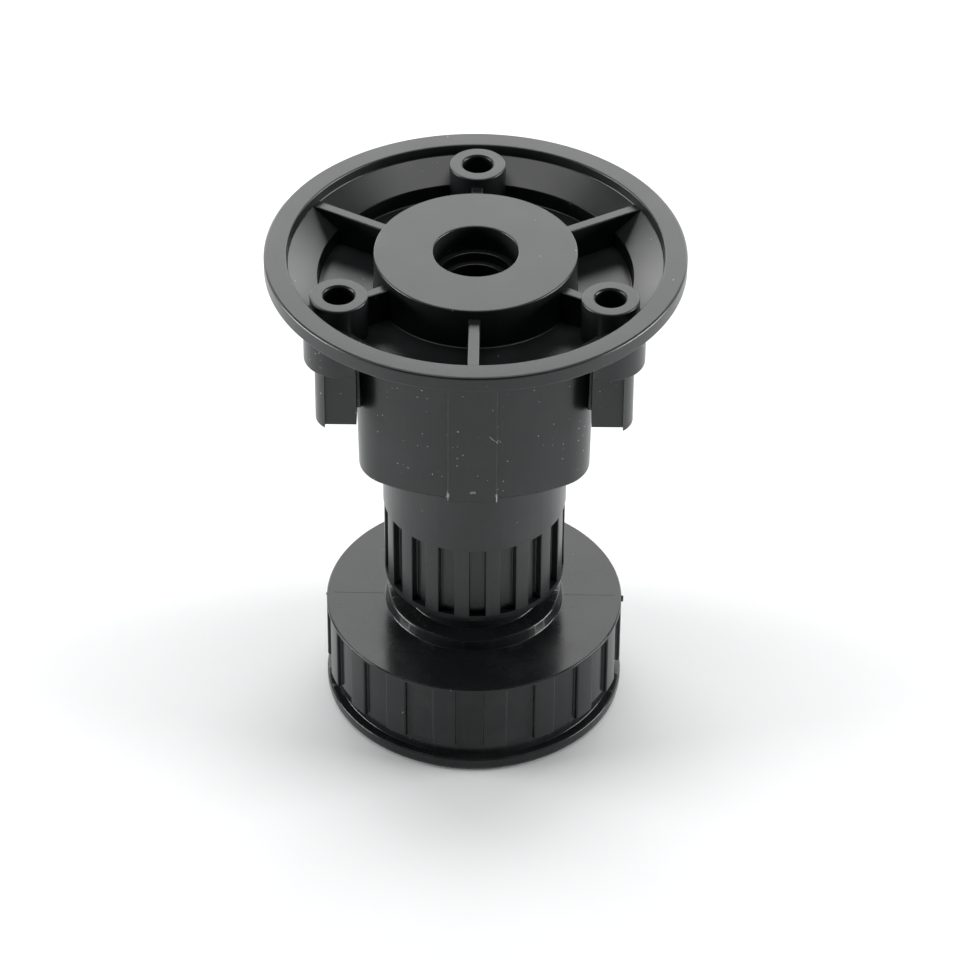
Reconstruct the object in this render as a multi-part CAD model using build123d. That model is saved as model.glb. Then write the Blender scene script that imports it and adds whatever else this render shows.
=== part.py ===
from build123d import *
from math import cos, radians, sin
import os

# Adjustable cabinet leg: a screw-on flange with a socket, a fluted tube and a threaded foot.
# Millimetres, +Z up, origin at the centre of the foot's bottom, front at -Y.

# Foot: bottom ring, recess, grip skirt, top plate and collar
base_ring_radius = 28.2
base_ring_height = 2.8
base_ring_chamfer = 0.8
recess_radius = 26.5
recess_height = 3.2
skirt_radius = 28.07
skirt_height = 13.45
lip_height = 0.65
skirt_wall = 1.5
foot_plate_thickness = 2.4
collar_base_radius = 16.8
collar_top_radius = 16.4
collar_height = 2.2
collar_wall = 2.0
foot_groove_count = 18
foot_groove_width = 5.4
foot_groove_depth = 0.8
foot_groove_turn = -90.9
foot_rib_count = 6
foot_rib_width = 1.5
foot_rib_setback = 0.8

# Foot: threaded stem, hollow from below
stem_radius = 13.8
stem_length = 40.0
stem_wall = 2.5
stem_end_thickness = 2.4
stem_end_chamfer = 0.8

# Tube, round the stem with a clearance
thread_clearance = 0.1
tube_bore_radius = stem_radius + thread_clearance
tube_wall = 3.2
tube_length = 67.8
tube_cap_thickness = 3.5
cap_recess_radius = 6.5
cap_recess_depth = 1.8
cap_hole_radius = 5.4
flute_count = 18
flute_width = 3.05
flute_floor_wall = 1.7
flute_length = 15.5
flute_turn = -87.3
flute_land_drop = 0.15
tube_end_band = 1.5

# Flange: rim, dish and hub
flange_radius = 38.0
rim_height = 3.0
rim_edge_rounding = 0.4
rim_inner_radius = 33.95
rim_inner_height = 1.9
dish_depth = 8.0
dish_radius = 28.4
dish_cone_rise = 3.06
plate_thickness = 1.8
plate_shoulder_overlap = 0.1
plate_shoulder_drop = 2.1
hub_radius = 18.34
hub_thickness = 5.0
hub_hole_radius = 7.65

# Flange: ribs and screw bosses
rib_width = 2.1
rib_drop = 1.7
rib_root = 0.5
boss_circle_radius = 27.74
boss_radius = 5.2
screw_hole_radius = 2.75
screw_hole_depth = 12.5
boss_angles = (90, 210, 330)
long_rib_angles = (30, 150, 270)
housing_radius = 6.5
housing_length = 13.6
stub_radius = 4.6
stub_length = 27.0
stub_slot_half_width = 2.75
stub_slot_floor_offset = 2.4
stub_flat_distance = 21.15
stub_flat_end = 11.2

# Flange: socket, a triangle with round sides and corners
socket_length = 42.0
socket_side_radius = 36.0
socket_side_distance = 19.45
socket_corner_radius = 8.0
socket_draft = 0.9
socket_end_chamfer = 0.5
pad_width = 9.0
pad_height_above_side = 0.35

# Clearance of the tube in the socket, and the gap above the foot's collar at rest
socket_clearance = 0.08
neck_gap = 4.9

# Radii that follow from the above
tube_radius = tube_bore_radius + tube_wall
flute_floor_radius = tube_bore_radius + flute_floor_wall
plate_shoulder_radius = dish_radius + plate_shoulder_overlap

# Levels, from the floor up
recess_top = base_ring_height + recess_height
foot_top = recess_top + skirt_height + lip_height
collar_top = foot_top + collar_height
stem_top = collar_top + stem_length
tube_bottom = collar_top + neck_gap
tube_top = tube_bottom + tube_length
flange_top = tube_top + hub_thickness
plate_bottom = flange_top - dish_depth - plate_thickness
socket_bottom = flange_top - socket_length


def turned(points):
    """A solid of revolution from (radius, height) points that start and end on the axis."""
    return revolve(Plane.XZ * make_face(Polyline(*points, close=True)), Axis.Z)


def disc(radius, low, high):
    """An upright cylinder between two levels."""
    return Pos(0, 0, low) * extrude(Circle(radius), high - low)


def round_slots(count, width, inner_radius, outer_radius, turn):
    """Plan of evenly spaced slots that are open outwards and have a round floor."""
    overrun = 1.0
    length = outer_radius - inner_radius + 2 * overrun
    places = PolarLocations((inner_radius + outer_radius) / 2, count, start_angle=turn)
    slots = Sketch() + [place * Rectangle(length, width) for place in places]
    return slots - Circle(inner_radius)


def spokes(angles, width, inner_radius, outer_radius):
    """Plan of straight radial bars at the given angles."""
    middle = (inner_radius + outer_radius) / 2
    length = outer_radius - inner_radius
    return Sketch() + [Rot(0, 0, angle) * Pos(middle, 0) * Rectangle(length, width) for angle in angles]


def polar(radius, angle):
    """A place in plan at a radius and an angle in degrees."""
    return Pos(radius * cos(radians(angle)), radius * sin(radians(angle)))


def block_across(half_width, near, far, low, high):
    """A block centred on the middle plane, between two places along Y and between two levels."""
    return Pos(0, (near + far) / 2, low) * extrude(Rectangle(2 * half_width, far - near), high - low)


def make_adjusting_foot():
    """Foot with a castellated skirt, a collar on its top face and a hollow threaded stem."""
    foot = turned([
        (0, 0),
        (base_ring_radius - base_ring_chamfer, 0),
        (base_ring_radius, base_ring_chamfer),
        (base_ring_radius, base_ring_height),
        (recess_radius, base_ring_height),
        (recess_radius, recess_top),
        (skirt_radius, recess_top),
        (skirt_radius, foot_top),
        (collar_base_radius, foot_top),
        (collar_top_radius, collar_top),
        (stem_radius, collar_top),
        (stem_radius, stem_top - stem_end_chamfer),
        (stem_radius - stem_end_chamfer, stem_top),
        (0, stem_top),
    ])
    grooves = round_slots(foot_groove_count, foot_groove_width, skirt_radius - foot_groove_depth,
                          skirt_radius, foot_groove_turn)
    foot -= Pos(0, 0, recess_top) * extrude(grooves, skirt_height)

    # Underside: a well round the hub with ribs across it, and a core up the stem
    well_radius = recess_radius - skirt_wall
    hub_outer = collar_top_radius
    rib_angles = [index * 360 / foot_rib_count for index in range(foot_rib_count)]
    well = Circle(well_radius) - Circle(hub_outer)
    well -= spokes(rib_angles, foot_rib_width, hub_outer - foot_rib_width, well_radius + foot_rib_width)
    foot -= extrude(well, foot_top - foot_plate_thickness)
    foot -= disc(well_radius, 0, foot_rib_setback)
    foot -= disc(hub_outer - collar_wall, 0, collar_top - foot_plate_thickness)
    foot -= disc(stem_radius - stem_wall, 0, stem_top - stem_end_thickness)
    return foot


def make_leg_tube():
    """Tube with a holed cap on top, a bore for the stem and a fluted grip at its lower end."""
    flute_bottom = tube_bottom + tube_end_band
    flute_top = flute_bottom + flute_length
    land_radius = tube_radius - flute_land_drop
    tube = turned([
        (0, tube_bottom),
        (land_radius, tube_bottom),
        (land_radius, flute_top),
        (tube_radius, flute_top),
        (tube_radius, tube_top),
        (0, tube_top),
    ])
    flutes = round_slots(flute_count, flute_width, flute_floor_radius, tube_radius, flute_turn)
    tube -= Pos(0, 0, flute_bottom) * extrude(flutes, flute_length)
    tube -= disc(tube_bore_radius, tube_bottom, tube_top - tube_cap_thickness)
    tube -= disc(cap_hole_radius, tube_top - tube_cap_thickness, tube_top)
    tube -= disc(cap_recess_radius, tube_top - cap_recess_depth, tube_top)
    return tube


def socket_plan():
    """Rounded triangle: a sharp triangle of three bulging arcs, then offset by its corner radius."""
    offset_centre = socket_side_radius - socket_side_distance
    arc_radius = socket_side_radius - socket_corner_radius
    core = Circle(socket_side_radius)
    for angle in long_rib_angles:
        core &= polar(offset_centre, angle + 180) * Circle(arc_radius)
    return offset(core, socket_corner_radius)


def make_mounting_flange():
    """Dished round flange with ribs, screw bosses and the socket, all one moulding."""
    rim_bottom = flange_top - rim_height
    dish_floor = flange_top - dish_depth
    cone_top = flange_top - rim_inner_height
    shell = turned([
        (0, plate_bottom),
        (plate_shoulder_radius, plate_bottom),
        (plate_shoulder_radius + plate_shoulder_drop, plate_bottom + plate_shoulder_drop),
        (flange_radius - rim_edge_rounding, rim_bottom),
        (flange_radius, rim_bottom + rim_edge_rounding),
        (flange_radius, flange_top - rim_edge_rounding),
        (flange_radius - rim_edge_rounding, flange_top),
        (rim_inner_radius, flange_top),
        (rim_inner_radius, cone_top),
        (dish_radius, cone_top - dish_cone_rise),
        (dish_radius, dish_floor),
        (0, dish_floor),
    ])
    flange = shell + disc(hub_radius, dish_floor, flange_top)

    # Ribs: long ones from the hub over the cone to the rim, short ones from the hub to the bosses
    rib_top = flange_top - rib_drop
    cone_bottom = cone_top - dish_cone_rise
    inner_ribs = spokes(boss_angles + long_rib_angles, rib_width, hub_radius - rib_width, dish_radius)
    outer_ribs = spokes(long_rib_angles, rib_width, dish_radius - rib_width, rim_inner_radius + rib_root)
    flange += Pos(0, 0, dish_floor) * extrude(inner_ribs, rib_top - dish_floor)
    flange += Pos(0, 0, cone_bottom) * extrude(outer_ribs, rib_top - cone_bottom)

    # Socket below the plate
    socket = Pos(0, 0, dish_floor) * extrude(socket_plan(), dish_floor - socket_bottom,
                                             dir=(0, 0, -1), taper=socket_draft)
    socket = chamfer(socket.edges().group_by(Axis.Z)[0], socket_end_chamfer)
    flange += socket
    pad_reach = socket_side_distance + pad_height_above_side
    pad = Pos(0, -pad_reach / 2) * Rectangle(pad_width, pad_reach)
    flange += Pos(0, 0, socket_bottom) * extrude(pad, plate_bottom - socket_bottom)

    # Screw bosses: ring in the dish, housing and stub under the plate
    housing_bottom = flange_top - housing_length
    stub_bottom = flange_top - stub_length
    housings = Part()
    for angle in boss_angles:
        place = polar(boss_circle_radius, angle)
        housings += place * disc(housing_radius, housing_bottom, cone_bottom)
        housings += place * disc(stub_radius, stub_bottom, dish_floor)
    housings -= disc(dish_radius, dish_floor, flange_top)

    # Slots down the stubs, and flats that keep the front ones clear of the socket's sides
    reach = boss_circle_radius + housing_radius
    front_x = boss_circle_radius * cos(radians(boss_angles[2]))
    front_y = boss_circle_radius * sin(radians(boss_angles[2]))
    housings -= block_across(front_x + stub_slot_half_width, -reach, front_y - stub_slot_floor_offset,
                             stub_bottom, housing_bottom)
    housings -= block_across(stub_flat_distance, -reach, -stub_flat_end, stub_bottom, plate_bottom)
    housings -= block_across(stub_slot_half_width, boss_circle_radius + stub_slot_floor_offset, reach,
                             stub_bottom, housing_bottom)
    flange += housings
    for angle in boss_angles:
        place = polar(boss_circle_radius, angle)
        flange += place * disc(boss_radius, dish_floor, flange_top)
        flange -= place * disc(screw_hole_radius, flange_top - screw_hole_depth, flange_top)

    # Holes: through the hub, and the bore that takes the tube
    flange -= disc(hub_hole_radius, tube_top, flange_top)
    flange -= disc(tube_radius + socket_clearance, socket_bottom, tube_top)
    return flange


os.makedirs("parts", exist_ok=True)
pieces = {
    "mounting_flange": make_mounting_flange(),
    "leg_tube": make_leg_tube(),
    "adjusting_foot": make_adjusting_foot(),
}
for name, piece in pieces.items():
    export_step(piece, f"parts/{name}.step")
    box = piece.bounding_box()
    print(f"{name}: {piece.volume:.0f} mm3, z {box.min.Z:.2f} to {box.max.Z:.2f}")
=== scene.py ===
"""Looks of the adjustable cabinet leg: finely moulded black plastic on a pale floor in soft light."""

import logging
import math
from dataclasses import dataclass, replace
from enum import Enum
from typing import Any, Sequence

import bmesh
import bpy
from bmesh.types import BMEdge, BMesh, BMVert
from mathutils import Matrix, Quaternion, Vector


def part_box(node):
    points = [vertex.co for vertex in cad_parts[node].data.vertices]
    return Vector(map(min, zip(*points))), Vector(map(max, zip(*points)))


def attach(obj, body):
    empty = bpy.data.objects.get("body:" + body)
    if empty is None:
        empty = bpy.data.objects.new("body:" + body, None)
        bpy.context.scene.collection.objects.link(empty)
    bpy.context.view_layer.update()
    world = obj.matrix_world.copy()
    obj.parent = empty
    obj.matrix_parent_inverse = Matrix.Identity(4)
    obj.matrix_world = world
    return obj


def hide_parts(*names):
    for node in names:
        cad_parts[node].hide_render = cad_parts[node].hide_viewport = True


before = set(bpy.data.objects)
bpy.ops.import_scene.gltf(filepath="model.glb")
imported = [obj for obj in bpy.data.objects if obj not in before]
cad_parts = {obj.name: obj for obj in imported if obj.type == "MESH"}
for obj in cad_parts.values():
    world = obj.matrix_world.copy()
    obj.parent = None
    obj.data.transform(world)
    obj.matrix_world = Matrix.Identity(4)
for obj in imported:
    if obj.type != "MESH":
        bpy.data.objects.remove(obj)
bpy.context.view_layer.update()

log = logging.getLogger("cabinet_leg")

MM = 0.001
ARC_STEPS = 4
SMOOTH_ANGLE = math.radians(32)
MERGE_DISTANCE = 1e-7
# A turned solid's flat end is a ring of this radius, which a cap closes
CAP_RADIUS = 1 * MM
# How far a cutter or a joined solid runs past the face that it meets
OVERRUN = 1 * MM


class Joining(Enum):
    """How a second solid is worked into a first one."""

    ADD = "UNION"
    CUT = "DIFFERENCE"


@dataclass(frozen=True)
class Corner:
    """One corner of a turned outline, in metres.

    A shaped corner follows the piece's spokes, so that its ring isn't round.
    """

    radius: float
    height: float
    rounding: float = 0.0
    shaped: bool = False


@dataclass(frozen=True)
class Spoke:
    """One direction of a turned piece, and how far its shaped rings draw in there."""

    angle: float
    cut: float = 0.0


@dataclass(frozen=True)
class Grooving:
    """Evenly spaced grooves with square walls and softly rounded edges.

    The floor share draws the floor's vertices in, so that they keep clear of the arc at the wall.
    """

    count: int
    centre: float
    width: float
    depth: float
    radius: float
    edge: float
    edge_steps: int = 3
    floor_steps: int = 2
    land_steps: int = 4
    floor_share: float = 0.85

    def half_profile(self) -> list[tuple[float, float]]:
        """Walks from the middle of a groove to the middle of a land.

        Returns:
            Pairs of distance along the arc and depth, in metres.
        """
        half = self.width / 2
        pitch = math.tau * self.radius / self.count
        points = []
        for step in range(self.floor_steps):
            points.append((half * step / self.floor_steps * self.floor_share, self.depth))
        for step in range(self.edge_steps + 1):
            turn = math.pi / 2 * step / self.edge_steps
            reach = half - self.edge + self.edge * math.sin(turn)
            points.append((reach, self.depth - self.edge * (1 - math.cos(turn))))
        for step in range(self.edge_steps + 1):
            turn = math.pi / 2 * step / self.edge_steps
            reach = half + self.edge * (1 - math.cos(turn))
            points.append((reach, self.edge * (1 - math.sin(turn))))
        land_start = half + self.edge
        for step in range(1, self.land_steps + 1):
            points.append((land_start + (pitch / 2 - land_start) * step / self.land_steps, 0.0))
        return points

    def spokes(self) -> list[Spoke]:
        """Lays the half profile out both ways round every groove.

        Returns:
            The spokes of a whole turn, in order of angle.
        """
        half = self.half_profile()
        whole = [(-reach, cut) for reach, cut in reversed(half[1:-1])] + half
        spokes = []
        for index in range(self.count):
            middle = math.radians(self.centre) + math.tau * index / self.count
            spokes += [Spoke(middle + reach / self.radius, cut) for reach, cut in whole]
        return spokes


def round_spokes(count: int, phase: float = 0.0) -> list[Spoke]:
    """Gives the spokes of a plain round piece.

    Args:
        count: How many spokes a whole turn has.
        phase: Where the first one stands, in degrees. Solids on one axis that get joined need
            different phases, so that no edge of one runs along an edge of the other.

    Returns:
        Evenly spaced spokes with no cut.
    """
    return [Spoke(math.tau * index / count + math.radians(phase)) for index in range(count)]


def rounded(corners: Sequence[Corner], closed: bool = True) -> list[Corner]:
    """Swaps each rounded corner of an outline for a short arc.

    Args:
        corners: The outline's corners in order.
        closed: Whether the last corner leads back to the first.

    Returns:
        The corners of the finished outline, none of them rounded.
    """
    result: list[Corner] = []
    last = len(corners) - 1
    for index, corner in enumerate(corners):
        at_end = not closed and index in (0, last)
        if corner.rounding <= 0 or at_end:
            result.append(corner)
            continue
        here = Vector((corner.radius, corner.height))
        previous = corners[index - 1]
        following = corners[(index + 1) % len(corners)]
        back = (Vector((previous.radius, previous.height)) - here).normalized()
        ahead = (Vector((following.radius, following.height)) - here).normalized()
        half_angle = back.angle(ahead) / 2
        reach = corner.rounding / math.tan(half_angle)
        centre = here + (back + ahead).normalized() * corner.rounding / math.sin(half_angle)
        start = here + back * reach - centre
        end = here + ahead * reach - centre
        first = math.atan2(start.y, start.x)
        sweep = math.remainder(math.atan2(end.y, end.x) - first, math.tau)
        for step in range(ARC_STEPS + 1):
            turn = first + sweep * step / ARC_STEPS
            place = centre + Vector((math.cos(turn), math.sin(turn))) * corner.rounding
            result.append(replace(corner, radius=place.x, height=place.y, rounding=0.0))
    return result


def settle(ring: dict[BMVert, Spoke], corner: Corner) -> None:
    """Puts a ring of vertices at its corner of the outline.

    Args:
        ring: Each vertex with its spoke.
        corner: The corner that the ring goes to.
    """
    for vertex, spoke in ring.items():
        radius = corner.radius - (spoke.cut if corner.shaped else 0.0)
        vertex.co = (radius * math.cos(spoke.angle), radius * math.sin(spoke.angle), corner.height)


def turned(corners: Sequence[Corner], spokes: Sequence[Spoke], closed: bool = True) -> BMesh:
    """Draws a ring of vertices along an outline, ring by ring, into a closed shell.

    Args:
        corners: The outline's corners in order.
        spokes: The directions of the ring's vertices.
        closed: Whether the outline closes on itself; if not, both ends get a flat cap.

    Returns:
        A closed mesh with its faces outwards.
    """
    outline = rounded(corners, closed)
    shell = bmesh.new()
    bmesh.ops.create_circle(shell, cap_ends=False, radius=1.0, segments=len(spokes))
    shell.verts.ensure_lookup_table()
    ring = dict(zip(shell.verts, spokes))
    edges = list(shell.edges)
    first_edges = edges
    settle(ring, outline[0])
    for corner in outline[1:] + (outline[:1] if closed else []):
        made = bmesh.ops.extrude_edge_only(shell, edges=edges)["geom"]
        fresh = [item for item in made if isinstance(item, BMVert) and item not in ring]
        following = {}
        for vertex in fresh:
            neighbours = (edge.other_vert(vertex) for edge in vertex.link_edges)
            following[vertex] = ring[next(other for other in neighbours if other in ring)]
        edges = [item for item in made if isinstance(item, BMEdge)
                 and all(vertex in following for vertex in item.verts)]
        ring = following
        settle(ring, corner)
    if not closed:
        bmesh.ops.contextual_create(shell, geom=first_edges)
        bmesh.ops.contextual_create(shell, geom=edges)
    bmesh.ops.remove_doubles(shell, verts=shell.verts, dist=MERGE_DISTANCE)
    bmesh.ops.dissolve_degenerate(shell, edges=shell.edges, dist=MERGE_DISTANCE)
    bmesh.ops.recalc_face_normals(shell, faces=shell.faces)
    return shell


def block(size: Sequence[float], middle: Sequence[float], rounding: float = 0.0) -> BMesh:
    """Makes a straight block with rounded edges.

    Args:
        size: Its three lengths.
        middle: Where its middle goes.
        rounding: The radius on every edge.

    Returns:
        The block as a closed mesh.
    """
    solid = bmesh.new()
    bmesh.ops.create_cube(solid, size=1.0, matrix=Matrix.Diagonal((*size, 1.0)))
    if rounding > 0:
        bmesh.ops.bevel(solid, geom=list(solid.edges), offset=rounding, affect="EDGES",
                        segments=ARC_STEPS, profile=0.5, material=-1)
    bmesh.ops.translate(solid, verts=solid.verts, vec=Vector(middle))
    return solid


def moved(solid: BMesh, turn: float, shift: Sequence[float] = (0, 0, 0)) -> BMesh:
    """Shifts a mesh, then turns it about the leg's axis.

    Args:
        solid: The mesh to place.
        turn: The angle about the axis, in degrees.
        shift: The shift that comes before the turn.

    Returns:
        The same mesh.
    """
    place = Matrix.Rotation(math.radians(turn), 4, "Z") @ Matrix.Translation(Vector(shift))
    bmesh.ops.transform(solid, matrix=place, verts=solid.verts)
    return solid


def gathered(solids: Sequence[BMesh]) -> BMesh:
    """Puts several separate solids into one mesh.

    Args:
        solids: The meshes, which are freed.

    Returns:
        One mesh that holds them all.
    """
    group = bmesh.new()
    for solid in solids:
        carrier = bpy.data.meshes.new("carrier")
        solid.to_mesh(carrier)
        solid.free()
        group.from_mesh(carrier)
        bpy.data.meshes.remove(carrier)
    return group


def as_object(name: str, solid: BMesh) -> bpy.types.Object:
    """Turns a mesh under work into an object at the origin.

    Args:
        name: The object's name.
        solid: The mesh, which is freed.

    Returns:
        The linked object.
    """
    mesh = bpy.data.meshes.new(name)
    solid.to_mesh(mesh)
    solid.free()
    made = bpy.data.objects.new(name, mesh)
    bpy.context.scene.collection.objects.link(made)
    return made


def work_in(target: bpy.types.Object, solid: BMesh, how: Joining) -> None:
    """Adds a solid to an object or cuts it away, and keeps the result in the object's mesh.

    Args:
        target: The object that changes.
        solid: The solid that is worked in.
        how: Whether it is added or cut away.
    """
    tool = as_object("tool", solid)
    step = target.modifiers.new("joining", "BOOLEAN")
    step.operation = how.value
    step.solver = "EXACT"
    step.object = tool
    evaluated = target.evaluated_get(bpy.context.evaluated_depsgraph_get())
    result = bpy.data.meshes.new_from_object(evaluated)
    target.modifiers.clear()
    before = target.data
    target.data = result
    result.name = target.name
    bpy.data.meshes.remove(before)
    tool_mesh = tool.data
    bpy.data.objects.remove(tool)
    bpy.data.meshes.remove(tool_mesh)


def smooth(piece: bpy.types.Object) -> None:
    """Shades a piece smoothly but for its sharp edges, and keeps its flat faces flat.

    Args:
        piece: The finished object.
    """
    mesh = piece.data
    mesh.polygons.foreach_set("use_smooth", [True] * len(mesh.polygons))
    mesh.set_sharp_from_angle(angle=SMOOTH_ANGLE)
    flat = piece.modifiers.new("flat faces", "WEIGHTED_NORMAL")
    flat.keep_sharp = True


class Wire:
    """A shader value that adds Math nodes when it stands in a sum."""

    def __init__(self, graph: "Graph", socket: bpy.types.NodeSocket) -> None:
        """Keeps the graph and the socket that the value comes from."""
        self.graph = graph
        self.socket = socket

    def _math(self, operation: str, first: Any, second: Any) -> "Wire":
        """Adds one Math node for the operation on both values and returns its result."""
        node = self.graph.node("ShaderNodeMath", {"operation": operation}, {0: first, 1: second})
        return Wire(self.graph, node.outputs[0])

    def __add__(self, other: Any) -> "Wire":
        """Sum."""
        return self._math("ADD", self, other)

    def __radd__(self, other: Any) -> "Wire":
        """Sum with the value on the right."""
        return self._math("ADD", other, self)

    def __sub__(self, other: Any) -> "Wire":
        """Difference."""
        return self._math("SUBTRACT", self, other)

    def __rsub__(self, other: Any) -> "Wire":
        """Difference with the value on the right."""
        return self._math("SUBTRACT", other, self)

    def __mul__(self, other: Any) -> "Wire":
        """Product."""
        return self._math("MULTIPLY", self, other)

    def __rmul__(self, other: Any) -> "Wire":
        """Product with the value on the right."""
        return self._math("MULTIPLY", other, self)

    def __gt__(self, other: Any) -> "Wire":
        """One where the value is greater, else nought."""
        return self._math("GREATER_THAN", self, other)

    def __lt__(self, other: Any) -> "Wire":
        """One where the value is less, else nought."""
        return self._math("LESS_THAN", self, other)

    def between(self, low: float, high: float) -> "Wire":
        """Rises smoothly from nought at low to one at high.

        Args:
            low: Where the rise starts.
            high: Where it ends.

        Returns:
            The smoothed value.
        """
        node = self.graph.node("ShaderNodeMapRange", {"interpolation_type": "SMOOTHSTEP"},
                               {"Value": self, "From Min": low, "From Max": high})
        return Wire(self.graph, node.outputs[0])


class Graph:
    """The node tree of one material."""

    def __init__(self, name: str) -> None:
        """Starts an empty material.

        Args:
            name: The material's name.
        """
        self.material = bpy.data.materials.new(name)
        self.material.use_nodes = True
        self.tree = self.material.node_tree
        self.tree.nodes.clear()

    def node(self, kind: str, settings: dict[str, Any], values: dict[Any, Any]) -> bpy.types.Node:
        """Adds a node.

        Args:
            kind: The node's type.
            settings: Its own settings, set first.
            values: Numbers, colours, wires or sockets for its inputs.

        Returns:
            The new node.
        """
        made = self.tree.nodes.new(kind)
        for key, value in settings.items():
            setattr(made, key, value)
        for key, value in values.items():
            target = made.inputs[key]
            if isinstance(value, Wire):
                self.tree.links.new(value.socket, target)
            elif isinstance(value, bpy.types.NodeSocket):
                self.tree.links.new(value, target)
            else:
                target.default_value = value
        return made

    def wire(self, kind: str, settings: dict[str, Any], values: dict[Any, Any], output: Any = 0) -> Wire:
        """Adds a node and returns one of its outputs as a value.

        Args:
            kind: The node's type.
            settings: Its own settings.
            values: Its inputs.
            output: The name or number of the output.

        Returns:
            The output as a wire.
        """
        return Wire(self, self.node(kind, settings, values).outputs[output])

    def mix(self, amount: Any, first: Any, second: Any) -> Wire:
        """Mixes two colours by an amount from nought to one."""
        values = {0: amount, 6: first, 7: second}
        return self.wire("ShaderNodeMix", {"data_type": "RGBA"}, values, 2)

    def coordinate(self, place: Wire, axis: str) -> Wire:
        """Gives the coordinate of a place along one axis."""
        return self.wire("ShaderNodeSeparateXYZ", {}, {"Vector": place}, axis)

    def finish(self, shader: bpy.types.Node) -> bpy.types.Material:
        """Links the shader to the output and returns the material."""
        self.node("ShaderNodeOutputMaterial", {}, {"Surface": shader.outputs[0]})
        return self.material


@dataclass(frozen=True)
class Noise:
    """A cloudy pattern over the object coordinates, its scale in repeats a metre."""

    scale: float
    detail: float
    roughness: float = 0.5

    def over(self, graph: Graph, place: Wire, output: Any = 0) -> Wire:
        """Adds the pattern to a material.

        Args:
            graph: The material's graph.
            place: The coordinates that it reads.
            output: The name or number of the noise's output.

        Returns:
            The pattern's value or colour.
        """
        values = {"Vector": place, "Scale": self.scale, "Detail": self.detail, "Roughness": self.roughness}
        return graph.wire("ShaderNodeTexNoise", {}, values, output)


@dataclass(frozen=True)
class Scuff:
    """A short pale scuff on the front side, with its lengths in metres and its lean in degrees."""

    across: float
    height: float
    length: float
    width: float
    lean: float


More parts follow.
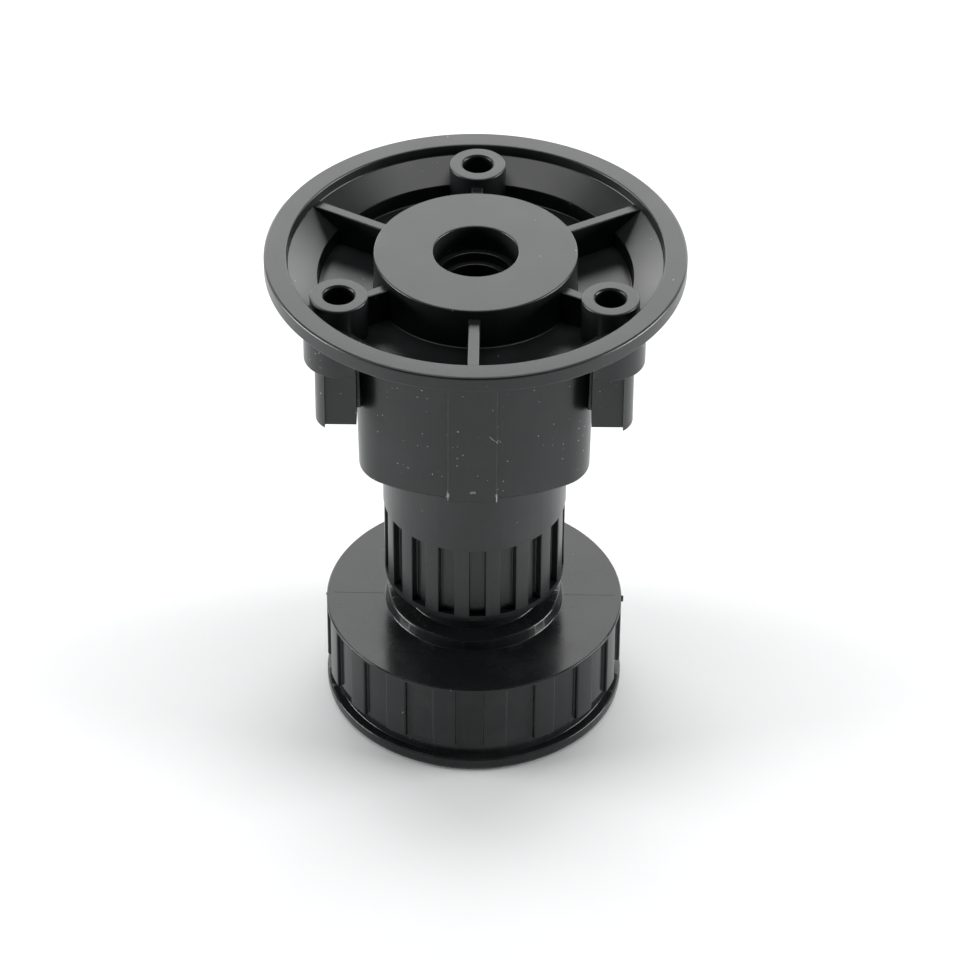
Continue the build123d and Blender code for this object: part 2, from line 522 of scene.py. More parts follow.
@dataclass(frozen=True)
class MouldedPlastic:
    """Black injection-moulded plastic with a fine grain, faint streaks, scuffs and stray dust.

    Dust lies thicker below the dusty level, and thickest in a belt right under that level.
    """

    name: str
    base: tuple[float, float, float] = (0.0095, 0.0112, 0.0117)
    worn: tuple[float, float, float] = (0.017, 0.0192, 0.0197)
    dust: tuple[float, float, float] = (0.42, 0.43, 0.43)
    roughness: float = 0.32
    roughness_spread: float = 0.12
    grain_roughness: float = 0.05
    dust_roughness: float = 0.35
    refraction: float = 1.5
    specular: float = 0.5
    mottle: Noise = Noise(110.0, 4.0, 0.55)
    grain: Noise = Noise(2600.0, 2.0, 0.6)
    peel: Noise = Noise(420.0, 3.0)
    streak: Noise = Noise(1500.0, 1.0)
    streak_squeeze: float = 0.04
    mottle_range: tuple[float, float] = (0.42, 0.72)
    mottle_wear: float = 0.7
    streak_range: tuple[float, float] = (0.5, 0.8)
    streak_wear: float = 0.3
    bump: float = 0.22
    bump_depth: float = 0.06 * MM
    peel_rise: float = 0.55
    grain_rise: float = 0.25
    streak_rise: float = 0.2
    dust_rise: float = 0.6
    dust_scale: float = 1100.0
    dust_share: float = 0.012
    dust_size: float = 0.17
    dust_core: float = 0.5
    dust_strength: float = 0.8
    dust_bend: Noise = Noise(3000.0, 1.0)
    dust_bend_reach: float = 0.5 * MM
    dusty_below: float = 0.0
    dusty_share: float = 0.17
    belt_depth: float = 0.0
    belt_share: float = 0.3
    scuffs: tuple[Scuff, ...] = ()

    def material(self) -> bpy.types.Material:
        """Builds the finish.

        Returns:
            The finished material.
        """
        graph = Graph(self.name)
        place = graph.wire("ShaderNodeTexCoord", {}, {}, "Object")
        squeezed = (1.0, 1.0, self.streak_squeeze)
        drawn = graph.wire("ShaderNodeMapping", {}, {"Vector": place, "Scale": squeezed})
        mottle = self.mottle.over(graph, place)
        grain = self.grain.over(graph, place)
        peel = self.peel.over(graph, place)
        streak = self.streak.over(graph, drawn)
        specks = self.specks(graph, place)
        for scuff in self.scuffs:
            specks = specks + self.scuffed(graph, place, scuff, grain)

        wear = (mottle.between(*self.mottle_range) * self.mottle_wear
                + streak.between(*self.streak_range) * self.streak_wear)
        plain = graph.mix(wear, (*self.base, 1.0), (*self.worn, 1.0))
        colour = graph.mix(specks, plain, (*self.dust, 1.0))
        rough = (self.roughness + (mottle - 0.5) * self.roughness_spread
                 + (grain - 0.5) * self.grain_roughness + specks * self.dust_roughness)
        height = (peel * self.peel_rise + grain * self.grain_rise
                  + streak * self.streak_rise + specks * self.dust_rise)
        relief = graph.wire("ShaderNodeBump", {}, {
            "Strength": self.bump, "Distance": self.bump_depth, "Height": height})
        shader = graph.node("ShaderNodeBsdfPrincipled", {}, {
            "Base Color": colour, "Roughness": rough, "IOR": self.refraction,
            "Specular IOR Level": self.specular, "Normal": relief})
        return graph.finish(shader)

    def scuffed(self, graph: Graph, place: Wire, scuff: Scuff, grain: Wire) -> Wire:
        """Masks one scuff.

        Args:
            graph: The material's graph.
            place: The object coordinates.
            scuff: Where the scuff is.
            grain: The noise that frays its edges and mottles it.

        Returns:
            A mask that is above nought on the scuff, on the front side alone.
        """
        cos = math.cos(math.radians(scuff.lean))
        sin = math.sin(math.radians(scuff.lean))
        aside = graph.coordinate(place, "X") - scuff.across
        above = graph.coordinate(place, "Z") - scuff.height
        along = aside * cos + above * sin
        off = above * cos - aside * sin + (grain - 0.5) * (scuff.width * 2.0)
        inside = (along * along < (scuff.length / 2) ** 2) * (off * off < (scuff.width / 2) ** 2)
        return inside * (graph.coordinate(place, "Y") < 0.0) * grain

    def specks(self, graph: Graph, place: Wire) -> Wire:
        """Scatters dust specks: few above, more below a level and most in a belt right below it.

        Args:
            graph: The material's graph.
            place: The object coordinates.

        Returns:
            A mask that is above nought on a speck.
        """
        bend = self.dust_bend.over(graph, place, "Color")
        shaken = graph.wire("ShaderNodeVectorMath", {"operation": "MULTIPLY_ADD"}, {
            0: bend, 1: (self.dust_bend_reach,) * 3, 2: place})
        cells = graph.node("ShaderNodeTexVoronoi", {}, {"Vector": shaken, "Scale": self.dust_scale})
        core = self.dust_size * self.dust_core
        near = 1.0 - Wire(graph, cells.outputs["Distance"]).between(core, self.dust_size)
        chance = graph.wire("ShaderNodeSeparateColor", {}, {"Color": cells.outputs["Color"]})
        height = graph.coordinate(place, "Z")
        dusty = height < self.dusty_below
        belt = dusty * (height > self.dusty_below - self.belt_depth)
        share = self.dust_share + dusty * self.dusty_share + belt * self.belt_share
        return near * (chance < share) * self.dust_strength


@dataclass(frozen=True)
class FloorFinish:
    """A pale matt floor."""

    name: str = "pale floor"
    colour: tuple[float, float, float] = (0.86, 0.865, 0.87)
    roughness: float = 0.8
    specular: float = 0.2
    cloud: Noise = Noise(6.0, 2.0)
    darkest: float = 0.985

    def material(self) -> bpy.types.Material:
        """Builds the floor's finish with a very faint mottle.

        Returns:
            The finished material.
        """
        graph = Graph(self.name)
        place = graph.wire("ShaderNodeTexCoord", {}, {}, "Object")
        darker = tuple(channel * self.darkest for channel in self.colour)
        tone = graph.mix(self.cloud.over(graph, place), (*darker, 1.0), (*self.colour, 1.0))
        shader = graph.node("ShaderNodeBsdfPrincipled", {}, {
            "Base Color": tone, "Roughness": self.roughness, "Specular IOR Level": self.specular})
        return graph.finish(shader)


@dataclass
class MountingFlange:
    """The screw-on flange: dish, hub, ribs, bosses and the three-sided socket, one moulding."""

    rim_height: float = 3.0 * MM
    rim_inner_radius: float = 33.95 * MM
    rim_inner_height: float = 1.9 * MM
    rim_draft: float = 0.19 * MM
    dish_depth: float = 8.0 * MM
    dish_radius: float = 28.4 * MM
    cone_rise: float = 3.06 * MM
    plate_thickness: float = 1.8 * MM
    shoulder_radius: float = 28.5 * MM
    shoulder_drop: float = 2.1 * MM
    hub_radius: float = 18.34 * MM
    hub_thickness: float = 5.0 * MM
    hub_hole_radius: float = 7.65 * MM
    rib_width: float = 2.1 * MM
    rib_drop: float = 1.7 * MM
    rib_root: float = 0.9 * MM
    rib_in_rim: float = 0.7 * MM
    boss_circle: float = 27.74 * MM
    boss_radius: float = 5.2 * MM
    screw_hole_radius: float = 2.75 * MM
    screw_hole_depth: float = 12.5 * MM
    screw_hole_flare: float = 0.3 * MM
    boss_root: float = 0.7 * MM
    housing_radius: float = 6.5 * MM
    housing_length: float = 13.6 * MM
    stub_radius: float = 4.6 * MM
    stub_length: float = 27.0 * MM
    slot_half_width: float = 2.75 * MM
    slot_floor_offset: float = 2.4 * MM
    flat_distance: float = 21.15 * MM
    flat_end: float = 11.2 * MM
    side_radius: float = 36.0 * MM
    side_distance: float = 19.45 * MM
    corner_radius: float = 8.0 * MM
    socket_draft: float = 0.53 * MM
    bore_clearance: float = 0.08 * MM
    pad_width: float = 9.0 * MM
    pad_rise: float = 0.35 * MM
    pad_depth: float = 4.0 * MM
    pad_offset: float = -0.2 * MM
    under_cone: float = 0.1 * MM
    core_clearance: float = 0.3 * MM
    bore_gap: float = 0.2 * MM
    dust_gap: float = 0.1 * MM
    dust_belt: float = 2.2 * MM
    edge: float = 0.3 * MM
    boss_angles: tuple[int, ...] = (90, 210, 330)
    rib_angles: tuple[int, ...] = (30, 150, 270)
    spoke_count: int = 360
    boss_spoke_count: int = 72
    drum_phase: float = 0.4
    stub_phase: float = 1.7
    ring_phase: float = 2.9
    hole_phase: float = 4.1
    core_phase: float = 0.37
    bore_phase: float = 0.61

    def __post_init__(self) -> None:
        """Reads the overall sizes from the frame and works out the levels."""
        low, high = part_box("mounting_flange")
        self.top = high.z
        self.bottom = low.z
        self.radius = high.x
        self.bore_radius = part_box("leg_tube")[1].x + self.bore_clearance
        self.floor = self.top - self.dish_depth
        self.cone_low = self.top - self.rim_inner_height - self.cone_rise
        self.drum_low = self.top - self.housing_length
        self.hub_low = self.top - self.hub_thickness

    def socket_reach(self, angle: float) -> float:
        """Finds how far the socket's outline reaches in one direction.

        Args:
            angle: The direction, in radians.

        Returns:
            The distance from the axis to the outline.
        """
        offset = self.side_radius - self.side_distance
        arc = self.side_radius - self.corner_radius
        tip = (math.sqrt(4 * arc * arc - 3 * offset * offset) - offset) / 2
        reach = math.inf
        for side in self.rib_angles:
            along = -math.cos(angle - math.radians(side)) * offset
            reach = min(reach, along + math.sqrt(self.side_radius ** 2 - offset ** 2 + along ** 2))
        touch = math.pi / 3 - math.asin(offset * math.sin(math.pi / 3) / arc)
        touch_across = self.corner_radius * math.sin(touch)
        limit = math.atan2(touch_across, tip + self.corner_radius * math.cos(touch))
        for corner in self.boss_angles:
            away = math.remainder(angle - math.radians(corner), math.tau)
            if abs(away) < limit:
                along = math.cos(away) * tip
                reach = along + math.sqrt(self.corner_radius ** 2 - tip ** 2 + along ** 2)
        return reach

    def shell(self) -> BMesh:
        """Makes the dish and the socket as one skin.

        Returns:
            The closed skin.
        """
        top = self.top
        floor = self.floor
        under = floor - self.plate_thickness
        rim_low = top - self.rim_height
        side = self.side_distance
        drop = self.shoulder_drop
        edge = self.edge
        soft = edge * 2
        corners = [
            Corner(self.hub_hole_radius, top, edge),
            Corner(self.hub_radius, top, edge),
            Corner(self.hub_radius, floor, edge),
            Corner(self.dish_radius, floor, edge),
            Corner(self.dish_radius, self.cone_low, edge),
            Corner(self.rim_inner_radius - self.rim_draft, top - self.rim_inner_height, edge),
            Corner(self.rim_inner_radius, top, edge),
            Corner(self.radius, top, edge * 1.6),
            Corner(self.radius, rim_low, edge),
            Corner(self.radius - edge * 1.4, rim_low, edge * 0.3),
            Corner(self.shoulder_radius + drop, under + drop, soft),
            Corner(self.shoulder_radius, under, soft),
            Corner(side, under, soft, shaped=True),
            Corner(side - self.socket_draft, self.bottom, soft, shaped=True),
            Corner(self.bore_radius, self.bottom, edge),
            Corner(self.bore_radius, self.hub_low),
            Corner(self.hub_hole_radius, self.hub_low),
        ]
        spokes = []
        for spoke in round_spokes(self.spoke_count):
            spokes.append(Spoke(spoke.angle, side - self.socket_reach(spoke.angle)))
        return turned(corners, spokes)

    def rib(self, reach: float, over_cone: bool) -> BMesh:
        """Makes one rib along +X from the hub.

        Args:
            reach: How far out it goes.
            over_cone: Whether its outer stretch rises over the dish's cone.

        Returns:
            The rib as a closed mesh.
        """
        near = self.hub_radius - self.rib_root
        low = self.floor - self.rib_root
        high = self.top - self.rib_drop
        outline = [(near, low), (reach, low), (reach, high), (near, high)]
        if over_cone:
            step = self.dish_radius + self.under_cone
            rise = self.cone_low - self.under_cone
            outline[1:2] = [(step, low), (step, rise), (reach, rise)]
        solid = bmesh.new()
        side = solid.faces.new([solid.verts.new((x, -self.rib_width / 2, z)) for x, z in outline])
        grown = bmesh.ops.extrude_face_region(solid, geom=[side])["geom"]
        far_side = [item for item in grown if isinstance(item, BMVert)]
        bmesh.ops.translate(solid, verts=far_side, vec=(0, self.rib_width, 0))
        bmesh.ops.recalc_face_normals(solid, faces=solid.faces)
        crests = []
        for edge in solid.edges:
            start, end = (vertex.co for vertex in edge.verts)
            if min(start.z, end.z) > high - MERGE_DISTANCE and abs(start.y - end.y) < MERGE_DISTANCE:
                crests.append(edge)
        bmesh.ops.bevel(solid, geom=crests, offset=self.edge, affect="EDGES", segments=ARC_STEPS,
                        profile=0.5, material=-1)
        return solid

    def ribs(self) -> BMesh:
        """Makes the long ribs over the cone and the short ones to the bosses.

        Returns:
            One mesh with the six ribs.
        """
        solids = [moved(self.rib(self.boss_circle, False), angle) for angle in self.boss_angles]
        rim = self.rim_inner_radius + self.rib_in_rim
        solids += [moved(self.rib(rim, True), angle) for angle in self.rib_angles]
        return gathered(solids)

    def around_bosses(self, corners: Sequence[Corner], phase: float) -> BMesh:
        """Turns one outline and repeats it on every boss.

        Args:
            corners: The outline from the top to the bottom, without the flat ends' rings.
            phase: Where the first spoke stands, in degrees.

        Returns:
            One mesh with the three turned solids.
        """
        outline = [Corner(CAP_RADIUS, corners[0].height), *corners, Corner(CAP_RADIUS, corners[-1].height)]
        solids = []
        for angle in self.boss_angles:
            solid = turned(outline, round_spokes(self.boss_spoke_count, phase), closed=False)
            solids.append(moved(solid, angle, (self.boss_circle, 0, 0)))
        return gathered(solids)

    def housings(self) -> BMesh:
        """Makes the drums under the plate, up to the level where the cone starts.

        Returns:
            One mesh with the three drums.
        """
        drum = [
            Corner(self.housing_radius, self.cone_low - self.under_cone),
            Corner(self.housing_radius, self.drum_low, self.edge),
        ]
        return self.around_bosses(drum, self.drum_phase)

    def stubs(self) -> BMesh:
        """Makes the slimmer cylinders below the drums.

        Returns:
            One mesh with the three stubs.
        """
        stub = [
            Corner(self.stub_radius, self.drum_low + OVERRUN),
            Corner(self.stub_radius, self.top - self.stub_length, self.edge),
        ]
        return self.around_bosses(stub, self.stub_phase)

    def dish_core(self) -> BMesh:
        """Makes the cutter that keeps the drums out of the dish's pocket.

        Returns:
            The cutter, a plain disc.
        """
        radius = self.dish_radius + self.core_clearance
        return self.disc(radius, self.top, self.floor - self.rib_root, self.core_phase)

    def disc(self, radius: float, high: float, low: float, phase: float) -> BMesh:
        """Makes a plain solid disc on the leg's axis.

        Args:
            radius: Its radius.
            high: The level of its top.
            low: The level of its bottom.
            phase: Where its first spoke stands, in degrees.

        Returns:
            The disc as a closed mesh.
        """
        corners = [
            Corner(CAP_RADIUS, high),
            Corner(radius, high),
            Corner(radius, low),
            Corner(CAP_RADIUS, low),
        ]
        return turned(corners, round_spokes(self.spoke_count, phase), closed=False)

    def slots(self) -> list[BMesh]:
        """Makes the cutters of the slots down the stubs and of the flats beside the socket.

        Returns:
            A block across both front stubs, one across both flats and one on the back stub.
        """
        reach = self.boss_circle + self.housing_radius
        front = math.radians(self.boss_angles[2])
        front_x = self.boss_circle * math.cos(front)
        front_y = self.boss_circle * math.sin(front)
        low = self.top - self.stub_length - OVERRUN
        high = self.drum_low
        plate = self.floor - self.plate_thickness
        solids = []
        for half_width, near, far, ceiling in (
            (front_x + self.slot_half_width, -reach, front_y - self.slot_floor_offset, high),
            (self.flat_distance, -reach - OVERRUN, -self.flat_end, plate),
            (self.slot_half_width, self.boss_circle + self.slot_floor_offset, reach, high),
        ):
            size = (2 * half_width, far - near, ceiling - low)
            solids.append(block(size, (0, (near + far) / 2, (low + ceiling) / 2)))
        return solids

    def bosses(self) -> BMesh:
        """Makes the drums and stubs with their cuts, ready to join the plate.

        Returns:
            One mesh with the three housings.
        """
        body = as_object("bosses", self.housings())
        work_in(body, self.stubs(), Joining.ADD)
        for cutter in self.slots():
            work_in(body, cutter, Joining.CUT)
        work_in(body, self.dish_core(), Joining.CUT)
        mesh = body.data
        joined = bmesh.new()
        joined.from_mesh(mesh)
        bpy.data.objects.remove(body)
        bpy.data.meshes.remove(mesh)
        return joined

    def rings(self) -> BMesh:
        """Makes the boss rings in the dish, flush with the rim.

        Returns:
            One mesh with the three rings, which have no holes yet.
        """
        ring = [
            Corner(self.boss_radius, self.top, self.edge),
            Corner(self.boss_radius, self.floor - self.boss_root),
        ]
        return self.around_bosses(ring, self.ring_phase)

    def screw_holes(self) -> BMesh:
        """Makes the cutters of the blind screw holes, flared at the mouth.

        Returns:
            One mesh with the three cutters.
        """
        flare = self.screw_hole_flare
        hole = [
            Corner(self.screw_hole_radius + flare, self.top + OVERRUN),
            Corner(self.screw_hole_radius + flare, self.top),
            Corner(self.screw_hole_radius, self.top - flare, flare),
            Corner(self.screw_hole_radius, self.top - self.screw_hole_depth),
        ]
        return self.around_bosses(hole, self.hole_phase)

    def pad(self) -> BMesh:
        """Makes the raised strip down the front of the socket.

        Returns:
            The strip as a closed mesh.
        """
        high = self.floor - OVERRUN
        reach = self.side_distance + self.pad_rise
        size = (self.pad_width, self.pad_depth, high - self.bottom)
        middle = (self.pad_offset, -reach + self.pad_depth / 2, (self.bottom + high) / 2)
        return block(size, middle, self.edge * 0.8)

    def bore(self) -> BMesh:
        """Makes the cutter that clears the tube's bore after the pad is on."""
        high = self.hub_low - self.bore_gap
        return self.disc(self.bore_radius, high, self.bottom - OVERRUN, self.bore_phase)

    def build(self) -> bpy.types.Object:
        """Models the whole flange.

        Returns:
            The finished object.
        """
        piece = as_object("flange_moulding", self.shell())
        work_in(piece, self.bosses(), Joining.ADD)
        work_in(piece, self.pad(), Joining.ADD)
        work_in(piece, self.bore(), Joining.CUT)
        work_in(piece, self.ribs(), Joining.ADD)
        work_in(piece, self.rings(), Joining.ADD)
        work_in(piece, self.screw_holes(), Joining.CUT)
        return piece

    def dress(self, piece: bpy.types.Object) -> None:
        """Gives the flange its finish and its place in the frame.

        Args:
            piece: The finished object.
        """
        low = self.bottom
        scuffs = (
            Scuff(3.8 * MM, self.top - 27.7 * MM, 3.0 * MM, 0.16 * MM, -44),
            Scuff(-4.7 * MM, low + 1.2 * MM, 2.0 * MM, 0.35 * MM, 80),
            Scuff(4.2 * MM, low + 1.1 * MM, 1.9 * MM, 0.3 * MM, 95),
            Scuff(-0.1 * MM, low + 2.4 * MM, 1.0 * MM, 0.4 * MM, 10),
        )
        finish = MouldedPlastic("flange plastic", dusty_below=self.floor - self.dust_gap,
                                belt_depth=self.dust_belt, scuffs=scuffs)
        piece.data.materials.append(finish.material())
        smooth(piece)
        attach(piece, "flange")
        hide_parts("mounting_flange")


@dataclass
class LegTube:
    """The tube: holed cap, smooth barrel and a fluted grip."""

    cap_thickness: float = 3.5 * MM
    cap_recess_radius: float = 6.5 * MM
    cap_recess_depth: float = 1.8 * MM
    cap_hole_radius: float = 5.4 * MM
    bore_radius: float = 13.9 * MM
    land_drop: float = 0.15 * MM
    land_taper: float = 0.05 * MM
    band: float = 1.5 * MM
    flute_length: float = 15.5 * MM
    flute_count: int = 18
    flute_width: float = 3.05 * MM
    flute_depth: float = 1.35 * MM
    flute_centre: float = 272.7
    edge: float = 0.18 * MM

    def __post_init__(self) -> None:
        """Reads the overall sizes from the frame."""
        low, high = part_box("leg_tube")
        self.bottom = low.z
        self.top = high.z
        self.radius = high.x

    def build(self) -> bpy.types.Object:
        """Models the tube as one skin.

        Returns:
            The finished object.
        """
        top = self.top
        land = self.radius - self.land_drop
        flute_low = self.bottom + self.band
        flute_top = flute_low + self.flute_length
        cap_low = top - self.cap_thickness
        recess = top - self.cap_recess_depth
        edge = self.edge
        corners = [
            Corner(self.cap_hole_radius, cap_low),
            Corner(self.cap_hole_radius, recess, edge),
            Corner(self.cap_recess_radius, recess),
            Corner(self.cap_recess_radius, top, edge),
            Corner(self.radius, top, edge * 2),
            Corner(self.radius, flute_top, edge * 0.5),
            Corner(land, flute_top, shaped=True),
            Corner(land, flute_low, shaped=True),
            Corner(land, flute_low),
            Corner(land - self.land_taper, self.bottom, edge * 2),
            Corner(self.bore_radius, self.bottom, edge),
            Corner(self.bore_radius, cap_low),
        ]
        grooving = Grooving(self.flute_count, self.flute_centre, self.flute_width, self.flute_depth,
                            land, edge)
        return as_object("tube_moulding", turned(corners, grooving.spokes()))

    def dress(self, piece: bpy.types.Object) -> None:
        """Gives the tube its finish and its place in the frame.

        Args:
            piece: The finished object.
        """
        finish = MouldedPlastic("tube plastic", roughness=0.3)
        piece.data.materials.append(finish.material())
        smooth(piece)
        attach(piece, "tube")
        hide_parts("leg_tube")


@dataclass
class AdjustingFoot:
    """The foot: bottom ring, recess, castellated skirt, collar and threaded stem."""

    ring_radius: float = 28.2 * MM
    ring_height: float = 2.8 * MM
    ring_rounding: float = 1.2 * MM
    recess_radius: float = 26.5 * MM
    recess_height: float = 3.2 * MM
    skirt_radius: float = 28.07 * MM
    skirt_height: float = 13.45 * MM
    lip_height: float = 0.65 * MM
    skirt_wall: float = 1.5 * MM
    plate_thickness: float = 2.4 * MM
    collar_base: float = 16.8 * MM
    collar_top: float = 16.4 * MM
    collar_height: float = 2.2 * MM
    collar_wall: float = 2.0 * MM
    groove_count: int = 18
    groove_width: float = 5.4 * MM
    groove_depth: float = 0.8 * MM
    groove_centre: float = 269.1
    rib_count: int = 6
    rib_width: float = 1.5 * MM
    rib_setback: float = 0.8 * MM
    rib_lift: float = 0.15 * MM
    stem_radius: float = 13.8 * MM
    stem_wall: float = 2.5 * MM
    stem_end: float = 2.4 * MM
    stem_chamfer: float = 0.8 * MM
    thread_depth: float = 0.85 * MM
    thread_pitch: float = 4.0 * MM
    thread_crest: float = 1.1 * MM
    thread_root: float = 2.6 * MM
    thread_steps: int = 96
    thread_phase: float = 1.3
    thread_gap: float = 0.1 * MM
    thread_sunk: float = 0.15 * MM
    seam_width: float = 0.12 * MM
    seam_rise: float = 0.03 * MM
    seam_depth: float = 0.6 * MM
    seam_start: float = 0.3 * MM
    seam_end: float = 1.3 * MM
    burr_length: float = 1.2 * MM
    burr_width: float = 0.6 * MM
    burr_right: float = 1.3 * MM
    burr_left: float = 0.5 * MM
    burr_slope: float = 0.3
    burr_drop: float = 0.2 * MM
    burr_offset: float = 0.02 * MM
    edge: float = 0.2 * MM

    def __post_init__(self) -> None:
        """Reads the foot's levels from the frame."""
        low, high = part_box("adjusting_foot")
        self.bottom = low.z
        self.stem_top = high.z
        self.recess_top = self.bottom + self.ring_height + self.recess_height
        self.skirt_top = self.recess_top + self.skirt_height
        self.plate_top = self.skirt_top + self.lip_height
        self.collar_level = self.plate_top + self.collar_height

    def body(self) -> BMesh:
        """Makes the foot and the stem's core as one skin.

        Returns:
            The closed skin.
        """
        edge = self.edge
        core = self.stem_radius - self.stem_wall
        root = self.stem_radius - self.thread_depth
        well = self.recess_radius - self.skirt_wall
        setback = self.bottom + self.rib_setback
        ring_top = self.bottom + self.ring_height
        under = self.plate_top - self.plate_thickness
        step = self.collar_level - self.plate_thickness
        hub_inner = self.collar_top - self.collar_wall
        corners = [
            Corner(CAP_RADIUS, self.stem_top - self.stem_end),
            Corner(core, self.stem_top - self.stem_end),
            Corner(core, step),
            Corner(hub_inner, step),
            Corner(hub_inner, setback, edge),
            Corner(self.collar_top, setback, edge),
            Corner(self.collar_top, under),
            Corner(well, under),
            Corner(well, self.bottom, edge),
            Corner(self.ring_radius, self.bottom, self.ring_rounding),
            Corner(self.ring_radius, ring_top, edge * 1.5),
            Corner(self.recess_radius, ring_top, edge),
            Corner(self.recess_radius, self.recess_top),
            Corner(self.skirt_radius, self.recess_top, edge * 0.7, shaped=True),
            Corner(self.skirt_radius, self.skirt_top, shaped=True),
            Corner(self.skirt_radius, self.skirt_top),
            Corner(self.skirt_radius, self.plate_top, edge * 1.3),
            Corner(self.collar_base, self.plate_top, edge * 1.5),
            Corner(self.collar_top, self.collar_level, edge * 2),
            Corner(root, self.collar_level, edge),
            Corner(root, self.stem_top - self.stem_chamfer),
            Corner(root - self.stem_chamfer, self.stem_top),
            Corner(CAP_RADIUS, self.stem_top),
        ]
        grooving = Grooving(self.groove_count, self.groove_centre, self.groove_width, self.groove_depth,
                            self.skirt_radius, edge * 1.5)
        return turned(corners, grooving.spokes(), closed=False)

    def ribs(self) -> BMesh:
        """Makes the ribs across the well on the underside.

        They end a little above the hub, because a shared plane there would leave open edges.

        Returns:
            One mesh with all the ribs.
        """
        well = self.recess_radius - self.skirt_wall
        near = self.collar_top - OVERRUN
        far = well + OVERRUN
        low = self.bottom + self.rib_setback + self.rib_lift
        high = self.plate_top - self.plate_thickness + OVERRUN
        size = (far - near, self.rib_width, high - low)
        middle = ((near + far) / 2, 0, (low + high) / 2)
        solids = []
        for index in range(self.rib_count):
            solids.append(moved(block(size, middle, self.edge), index * 360 / self.rib_count))
        return gathered(solids)

    def flash(self) -> BMesh:
        """Makes the mould's parting seam across the top and the burrs where it meets the edge.

        Returns:
            One mesh with both halves of the seam and both burrs.
        """
        near = self.collar_base + self.seam_start
        far = self.skirt_radius - self.seam_end
        seam = (far - near, self.seam_width, self.seam_depth + self.seam_rise)
        level = self.plate_top + (self.seam_rise - self.seam_depth) / 2
        solids = []
        for side, burr_height in ((1, self.burr_right), (-1, self.burr_left)):
            solids.append(block(seam, (side * (near + far) / 2, 0, level)))
            burr = (self.burr_length, self.burr_width, burr_height)
            reach = self.skirt_radius + self.burr_slope * burr_height - self.burr_length / 2
            height = self.plate_top - self.burr_drop - burr_height / 2
            solids.append(block(burr, (side * reach, self.burr_offset, height), self.edge))
        return gathered(solids)

    def thread(self) -> BMesh:
        """Winds the thread's tooth round the stem.

        Returns:
            The tooth as a closed mesh, sunk a little into the stem's core.
        """
        low = self.collar_level + self.thread_root / 2 + self.thread_gap
        high = self.stem_top - self.stem_chamfer - self.thread_root / 2
        turns = (high - low) / self.thread_pitch
        steps = round(turns * self.thread_steps)
        root = self.stem_radius - self.thread_depth - self.thread_sunk
        tooth = bmesh.new()
        corners = [
            (root, -self.thread_root / 2),
            (self.stem_radius, -self.thread_crest / 2),
            (self.stem_radius, self.thread_crest / 2),
            (root, self.thread_root / 2),
        ]
        made = [tooth.verts.new((radius, 0, low + rise)) for radius, rise in corners]
        face = tooth.faces.new(made)
        geometry = [face, *face.edges, *face.verts]
        bmesh.ops.spin(tooth, geom=geometry, cent=(0, 0, 0), axis=(0, 0, 1), angle=math.tau * turns,
                       dvec=(0, 0, (high - low) / steps), steps=steps, use_merge=False)
        bmesh.ops.remove_doubles(tooth, verts=tooth.verts, dist=MERGE_DISTANCE)
        bmesh.ops.recalc_face_normals(tooth, faces=tooth.faces)
        return moved(tooth, self.thread_phase)

    def build(self) -> bpy.types.Object:
        """Models the foot with its ribs and its thread.

        Returns:
            The finished object.
        """
        piece = as_object("foot_moulding", self.body())
        work_in(piece, self.ribs(), Joining.ADD)
        work_in(piece, self.thread(), Joining.ADD)
        work_in(piece, self.flash(), Joining.ADD)
        return piece

    def dress(self, piece: bpy.types.Object) -> None:
        """Gives the foot its finish and its place in the frame.

        Args:
            piece: The finished object.
        """
        finish = MouldedPlastic("foot plastic", dust_share=0.015, roughness=0.2, roughness_spread=0.26,
                                specular=0.3)
        piece.data.materials.append(finish.material())
        smooth(piece)
        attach(piece, "foot")
        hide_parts("adjusting_foot")


@dataclass(frozen=True)
class SoftBox:
    """A rectangular studio lamp that points at the leg."""

    name: str
    azimuth: float
    elevation: float
    width: float
    height: float
    radiance: float
    distance: float = 1.2

    def place(self, target: Vector) -> None:
        """Sets the lamp up.

        Args:
            target: The point that it faces.
        """
        lamp = bpy.data.lights.new(self.name, "AREA")
        lamp.shape = "RECTANGLE"
        lamp.size = self.width
        lamp.size_y = self.height
        lamp.energy = self.radiance * math.pi * self.width * self.height
        holder = bpy.data.objects.new(self.name, lamp)
        bpy.context.scene.collection.objects.link(holder)
        azimuth = math.radians(self.azimuth)
        elevation = math.radians(self.elevation)
        level = self.distance * math.cos(elevation)
        rise = self.distance * math.sin(elevation)
        away = Vector((level * math.cos(azimuth), level * math.sin(azimuth), rise))
        holder.location = target + away
        holder.rotation_mode = "QUATERNION"
        holder.rotation_quaternion = (-away).to_track_quat("-Z", "Y")


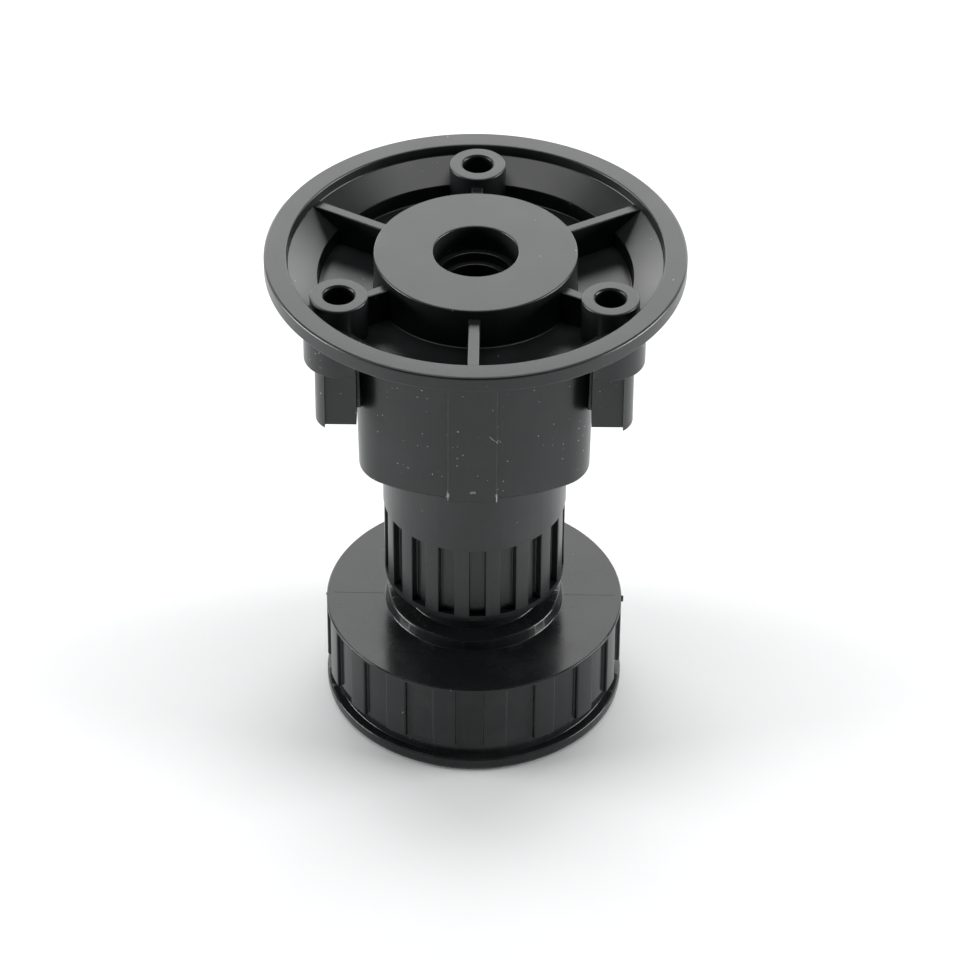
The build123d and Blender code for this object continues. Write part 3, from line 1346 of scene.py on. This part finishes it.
@dataclass
class Studio:
    """The floor, the lamps, the sky and the camera."""

    boxes: tuple[SoftBox, ...] = (
        SoftBox("back box", 90, 35, 0.64, 0.5, 4.1),
        SoftBox("back left box", 120, 20, 0.62, 0.8, 3.7),
        SoftBox("back right box", 60, 20, 0.62, 0.8, 3.7),
        SoftBox("top box", 90, 86, 1.3, 0.55, 3.5),
        SoftBox("left strip", 180, 10, 0.7, 0.38, 21.0),
        SoftBox("right strip", 0, 10, 0.7, 0.38, 21.0),
    )
    floor_radius: float = 6.0
    floor_steps: int = 128
    target_height: float = 0.05
    sky: float = 0.04
    camera_place: tuple[float, float, float] = (0.0066, -0.6303, 0.5466)
    camera_aim: tuple[float, float, float] = (0.0010, 0.0, 0.0477)
    camera_roll: float = 0.324
    lens: float = 161.5
    sensor: float = 36.0

    def floor(self) -> None:
        """Lays the floor, which isn't part of the object."""
        disc = bmesh.new()
        bmesh.ops.create_circle(disc, cap_ends=True, radius=self.floor_radius, segments=self.floor_steps)
        ground = as_object("floor", disc)
        ground.data.materials.append(FloorFinish().material())

    def light(self) -> None:
        """Places the softboxes and sets the sky."""
        for box in self.boxes:
            box.place(Vector((0, 0, self.target_height)))
        world = bpy.data.worlds.new("sky")
        bpy.context.scene.world = world
        world.use_nodes = True
        backdrop = world.node_tree.nodes["Background"]
        backdrop.inputs["Color"].default_value = (1.0, 1.0, 1.0, 1.0)
        backdrop.inputs["Strength"].default_value = self.sky

    def camera(self) -> None:
        """Sets the camera at the photograph's viewing angle."""
        lens = bpy.data.cameras.new("camera")
        lens.lens = self.lens
        lens.sensor_width = self.sensor
        holder = bpy.data.objects.new("camera", lens)
        bpy.context.scene.collection.objects.link(holder)
        place = Vector(self.camera_place)
        aim = Vector(self.camera_aim) - place
        roll = Quaternion((0, 0, 1), math.radians(self.camera_roll))
        holder.location = place
        holder.rotation_mode = "QUATERNION"
        holder.rotation_quaternion = aim.to_track_quat("-Z", "Y") @ roll
        bpy.context.scene.camera = holder

    def build(self) -> None:
        """Sets up the whole studio."""
        self.floor()
        self.light()
        self.camera()
        bpy.context.scene.view_settings.view_transform = "Standard"


def main() -> None:
    """Builds the leg's pieces in order, then the studio."""
    for maker in (MountingFlange(), LegTube(), AdjustingFoot()):
        piece = maker.build()
        maker.dress(piece)
        log.info("%s: %d faces", piece.name, len(piece.data.polygons))
    Studio().build()


if __name__ == "__main__":
    logging.basicConfig(level=logging.INFO)
    main()
